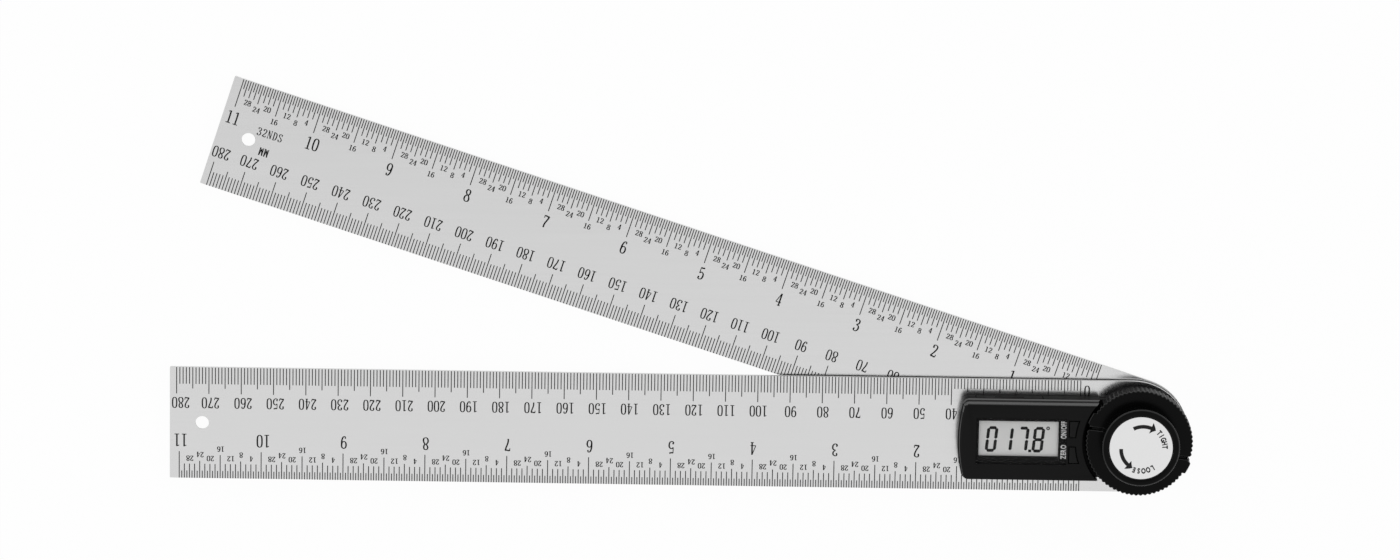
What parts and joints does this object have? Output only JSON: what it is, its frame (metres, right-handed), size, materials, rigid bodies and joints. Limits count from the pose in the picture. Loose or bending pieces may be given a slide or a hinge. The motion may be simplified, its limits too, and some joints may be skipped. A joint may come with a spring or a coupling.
{
  "type": "digital angle finder",
  "caption": "Digital angle finder: flat steel rule arms with round ends on a clamped pivot, a low display housing with press buttons and a coin cell tray, and a knurled lock knob.",
  "frame": {"origin": "the pivot axis at the flat back face of the pivot bolt's head, which the tool lies on", "axes": "-X along the front arm from the pivot to its square tip, +Z along the pivot axis out of the display and the knob, +Y the side that the rear arm opens to"},
  "size_m": [0.3165, 0.1258, 0.0229],
  "materials": {
    "rule_steel": "satin, brushed across the blade, with black printed scales",
    "bolt_steel": "turned and plain",
    "cell_steel": "smooth",
    "housing_black": "fine moulded texture",
    "inner_black": "moulded",
    "button_black": "soft rubbed",
    "knob_black": "moulded, slight sheen",
    "white_plastic": "smooth",
    "brass": "turned or stamped",
    "board_green": "solder mask",
    "connector_rubber": "striped conductive rubber",
    "clear_window": "clear, glossy",
    "display_glass": "pale grey liquid crystal cell",
    "label_white": "printed white disc"
  },
  "bodies": {
    "front_arm": {"front_blade": "rule_steel", "display_housing": "housing_black", "housing_chassis": "inner_black", "circuit_board": "board_green", "display_window": "clear_window", "display_glass": "display_glass", "display_holder": "inner_black", "rubber_connector": "connector_rubber", "control_chip": "inner_black", "power_switch": "bolt_steel", "zero_switch": "bolt_steel", "plus_contact": "brass", "minus_contact": "brass", "housing_screw_1": "bolt_steel", "housing_screw_2": "bolt_steel", "housing_screw_3": "bolt_steel", "housing_screw_4": "bolt_steel"},
    "rear_arm": {"rear_blade": "rule_steel", "pivot_bolt": "bolt_steel", "friction_washer": "white_plastic", "keyed_collar": "brass", "sensor_rotor": "board_green", "stop_screw": "bolt_steel"},
    "knob": {"lock_knob": "knob_black", "knob_insert": "brass", "spring_washer": "bolt_steel", "knob_label": "label_white"},
    "tray": {"cell_tray": "housing_black", "coin_cell": "cell_steel"},
    "power_key": {"power_button": "button_black"},
    "zero_key": {"zero_button": "button_black"}
  },
  "joints": [
    {"name": "arm_hinge", "type": "hinge", "parent": "front_arm", "child": "rear_arm", "pos_m": [0, 0, 0.00255], "axis": [0, 0, 1], "continuous": true},
    {"name": "knob_turn", "type": "hinge", "parent": "rear_arm", "child": "knob", "pos_m": [0, 0, 0.0095], "axis": [0, 0, 1], "range_deg": [0, 270]},
    {"name": "power_press", "type": "slide", "parent": "front_arm", "child": "power_key", "axis": [0, 0, -1], "range_m": [0, 0.0005], "stiffness_N_per_m": 1500},
    {"name": "zero_press", "type": "slide", "parent": "front_arm", "child": "zero_key", "axis": [0, 0, -1], "range_m": [0, 0.0005], "stiffness_N_per_m": 1500},
    {"name": "tray_slide", "type": "slide", "parent": "front_arm", "child": "tray", "axis": [0, 1, 0], "range_m": [0, 0.024]}
  ]
}
